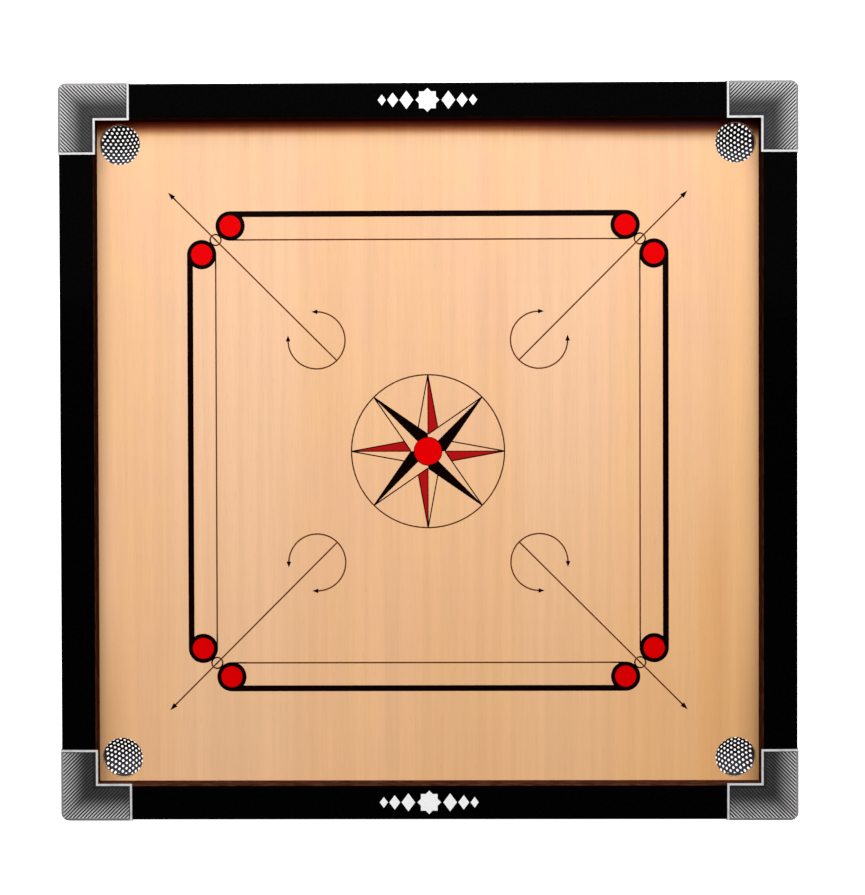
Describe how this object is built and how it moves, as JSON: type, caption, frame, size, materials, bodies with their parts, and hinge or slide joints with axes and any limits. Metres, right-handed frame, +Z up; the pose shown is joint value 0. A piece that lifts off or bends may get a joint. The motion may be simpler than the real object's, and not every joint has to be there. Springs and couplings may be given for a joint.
{
  "type": "carrom board",
  "caption": "Square wooden carrom board with a raised grooved frame, netted corner pockets, ribbed corner caps and a printed layout.",
  "frame": {"origin": "middle of the board's underside, on the table that it lies on", "axes": "+X to the board's right, +Y towards the back rail, +Z up out of the playing surface"},
  "size_m": [0.814, 0.814, 0.0521],
  "materials": {
    "playing_wood": "satin lacquer",
    "rail_wood": "black lacquer",
    "batten_wood": "planed",
    "cap_plastic": "silver-grey, ribbed",
    "net_cord": "knitted",
    "ring_plastic": "moulded",
    "zinc_steel": "zinc plated",
    "brass_steel": "yellow passivated",
    "black_ink": "printed",
    "red_ink": "printed",
    "white_ink": "printed"
  },
  "bodies": {
    "root": {"playing_panel": "playing_wood", "rail_front": "rail_wood", "rail_back": "rail_wood", "rail_left": "rail_wood", "rail_right": "rail_wood", "corner_cap_front_left": "cap_plastic", "corner_cap_front_right": "cap_plastic", "corner_cap_back_left": "cap_plastic", "corner_cap_back_right": "cap_plastic", "pocket_net_front_left": "net_cord", "pocket_net_front_right": "net_cord", "pocket_net_back_left": "net_cord", "pocket_net_back_right": "net_cord", "pocket_ring_front_left": "ring_plastic", "pocket_ring_front_right": "ring_plastic", "pocket_ring_back_left": "ring_plastic", "pocket_ring_back_right": "ring_plastic", "batten_across": "batten_wood", "batten_along": "batten_wood", "ring_screws": "zinc_steel", "batten_screws": "brass_steel", "mitre_screws": "brass_steel", "cap_nails": "zinc_steel", "black_print": "black_ink", "red_print": "red_ink", "rail_print": "white_ink"}
  },
  "joints": []
}
